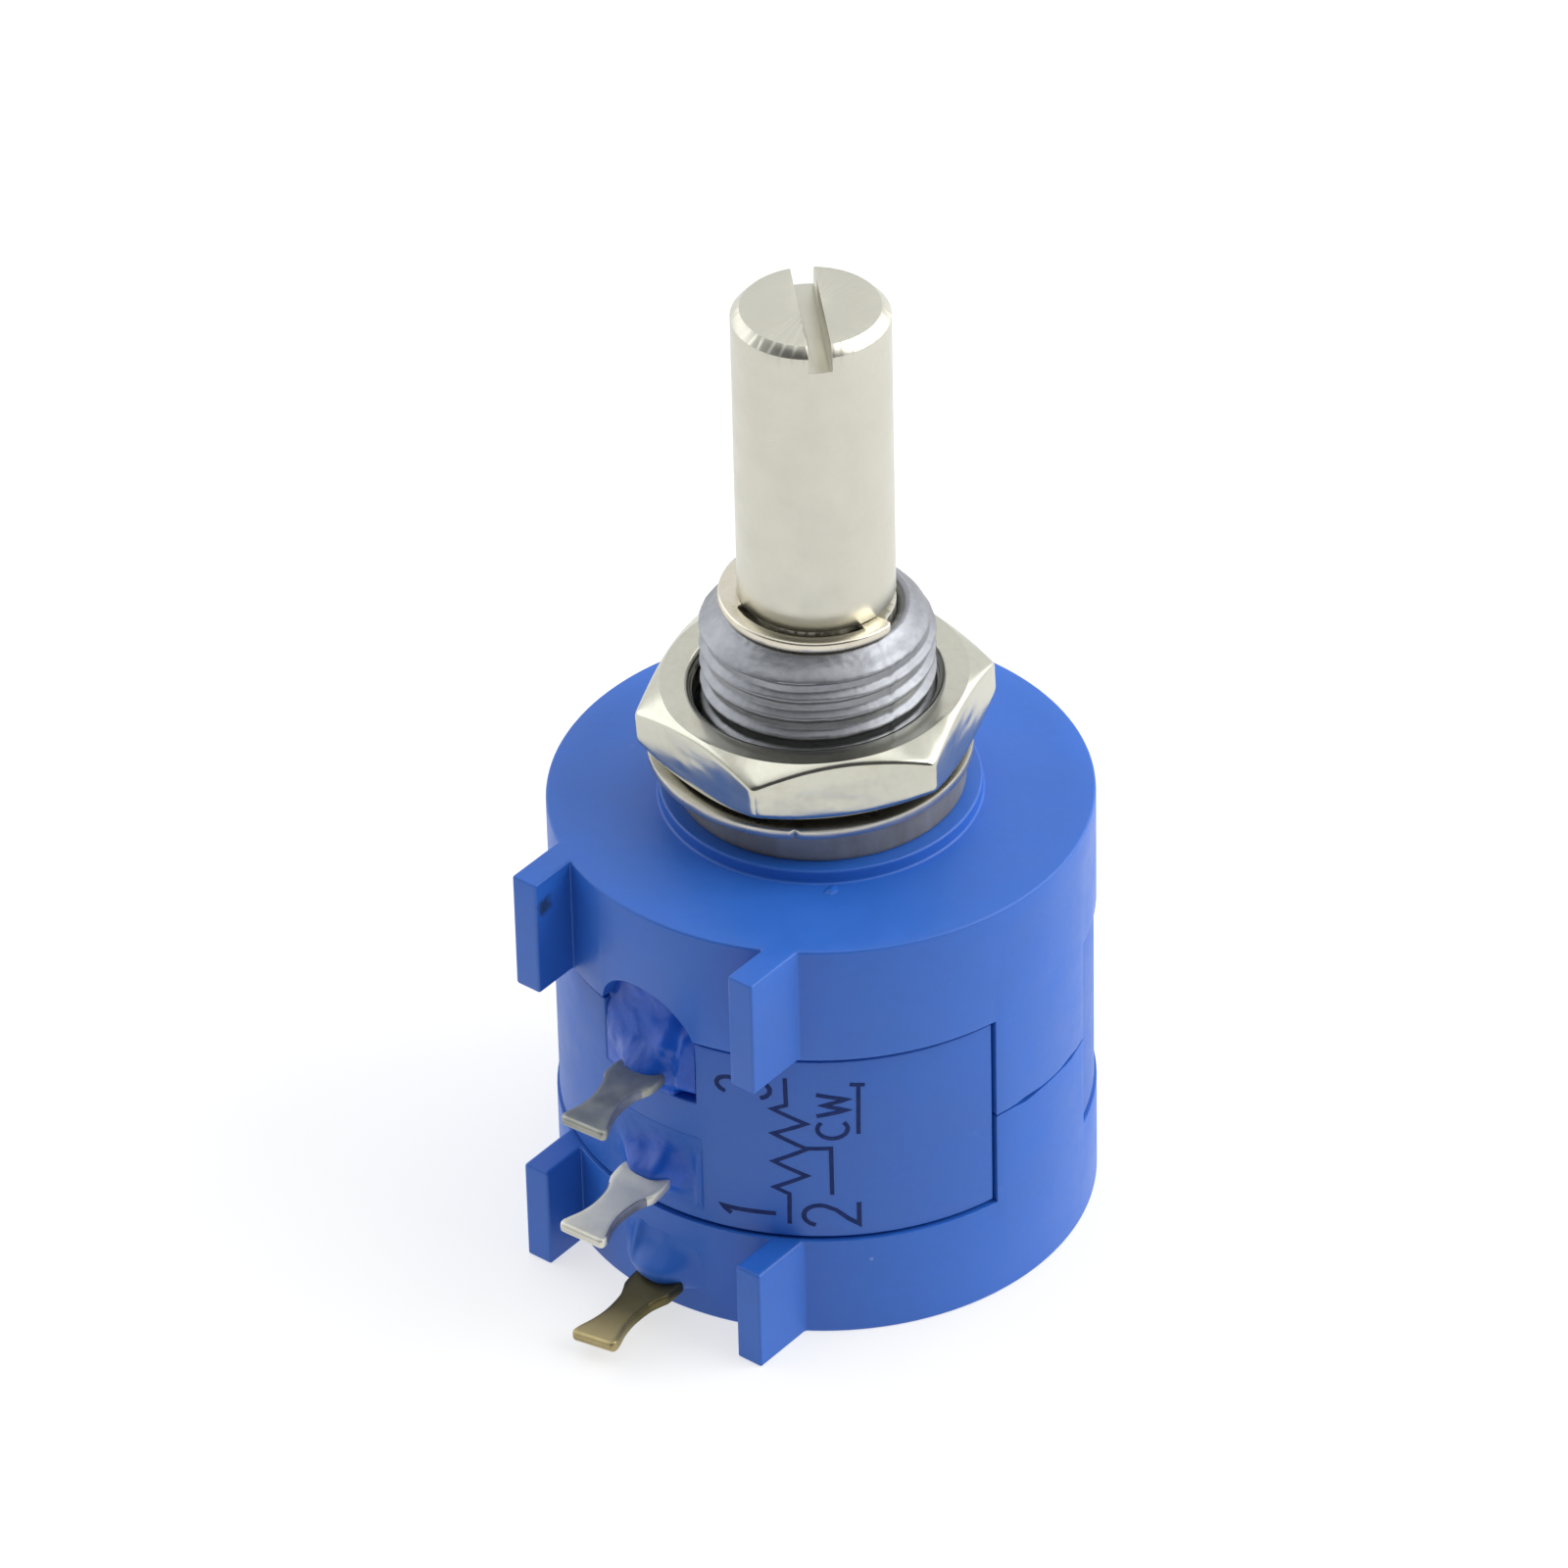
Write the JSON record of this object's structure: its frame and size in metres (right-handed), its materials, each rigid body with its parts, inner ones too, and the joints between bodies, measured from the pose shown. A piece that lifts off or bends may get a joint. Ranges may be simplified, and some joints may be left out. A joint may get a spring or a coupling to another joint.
{
  "type": "multiturn panel potentiometer",
  "caption": "Round multiturn wirewound potentiometer with a slotted shaft, threaded bushing with nut and washer, standoff ribs and hourglass solder lugs along one side.",
  "frame": {"origin": "centre of the rear face, on the shaft axis", "axes": "+Z along the shaft, out of the front; the solder terminals point along -Y"},
  "size_m": [0.0222, 0.0271, 0.0426],
  "materials": {
    "blue_shell": "satin moulded plastic",
    "blue_inner": "satin moulded plastic with a dark schematic print",
    "blue_resin": "glossy sealing resin",
    "cast_bushing": "satin nickel plate over a die casting",
    "steel_washer": "plain plated spring steel",
    "nickel_nut": "bright nickel plate",
    "nickel_shaft": "satin turned nickel-plated rod",
    "steel_ring": "plated spring steel",
    "bronze_spring": "rolled bronze sheet",
    "black_plastic": "moulded plastic",
    "bronze_rail": "rolled sheet with a contact plating",
    "white_plastic": "self-lubricating moulded plastic",
    "spring_alloy": "spring alloy strip",
    "resistance_wire": "close-wound fine resistance wire on a round core",
    "tinned_lug": "tinned sheet, dull",
    "bronze_lug": "spring bronze sheet, tarnished, tinned at the tip",
    "copper_ribbon": "copper ribbon"
  },
  "bodies": {
    "housing": {"front_shell": "blue_shell", "rear_shell": "blue_shell", "coil_housing": "blue_inner", "mounting_bushing": "cast_bushing", "lock_washer": "steel_washer", "hex_nut": "nickel_nut", "thrust_washer": "bronze_spring", "resistance_helix": "resistance_wire", "terminal_3": "tinned_lug", "terminal_1": "tinned_lug", "terminal_2": "bronze_lug", "seal_3": "blue_resin", "seal_1": "blue_resin", "seal_2": "blue_resin", "lead_3": "copper_ribbon", "lead_1": "copper_ribbon"},
    "rotor": {"shaft": "nickel_shaft", "retaining_ring": "steel_ring", "rotor_drum": "black_plastic", "collector_rail": "bronze_rail", "slip_ring": "bronze_rail"},
    "carriage": {"wiper_carriage": "white_plastic", "wiper_contact": "spring_alloy"}
  },
  "joints": [
    {"name": "shaft_turn", "type": "hinge", "parent": "housing", "child": "rotor", "pos_m": [0, 0, 0], "axis": [0, 0, 1], "range_deg": [-1800, 1800]},
    {"name": "wiper_travel", "type": "slide", "parent": "rotor", "child": "carriage", "axis": [0, 0, 1], "range_m": [-0.00599, 0.00599]}
  ],
  "couplings": [
    {"joint": "shaft_turn", "follows": "wiper_travel", "rad_per_m": -5236}
  ]
}
